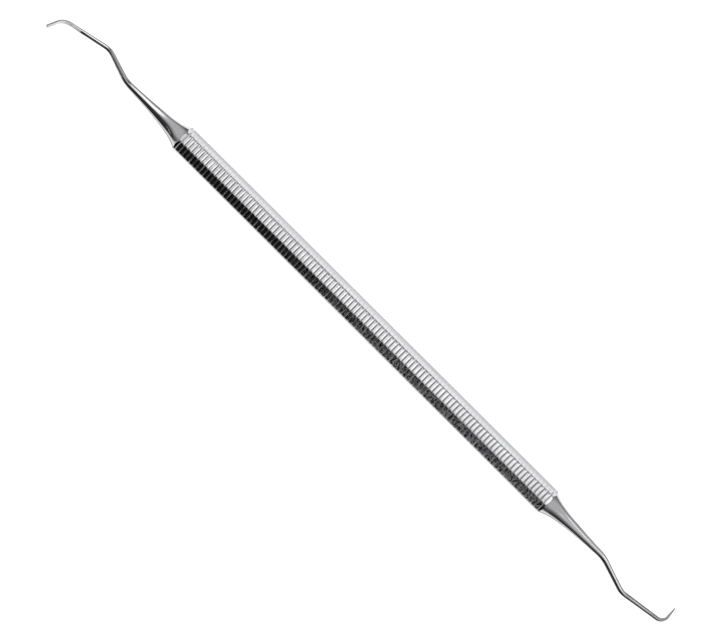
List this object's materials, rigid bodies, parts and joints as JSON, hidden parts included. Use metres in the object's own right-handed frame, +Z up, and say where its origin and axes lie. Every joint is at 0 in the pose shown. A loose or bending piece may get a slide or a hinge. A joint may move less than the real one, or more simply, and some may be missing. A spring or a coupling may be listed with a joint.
{
  "type": "hand scaler",
  "caption": "Double-ended dental hand scaler: serrated octagonal steel handle with a flared, bent shank and a curved blade at each end.",
  "frame": {"origin": "on the underside facet of the octagonal handle, halfway along the handle", "axes": "+X along the handle towards the closed hook, the shanks bend in the XY plane, +Z up out of the facet that it rests on"},
  "size_m": [0.181, 0.0072, 0.0065],
  "materials": {
    "handle_steel": "polished stainless steel, cross-cut serrations",
    "working_steel": "polished stainless steel, ground blade face",
    "plug_steel": "turned stainless steel, hidden in the handle"
  },
  "bodies": {
    "root": {"handle_tube": "handle_steel", "open_end_plug": "plug_steel", "closed_end_plug": "plug_steel", "open_working_end": "working_steel", "closed_working_end": "working_steel"}
  },
  "joints": []
}
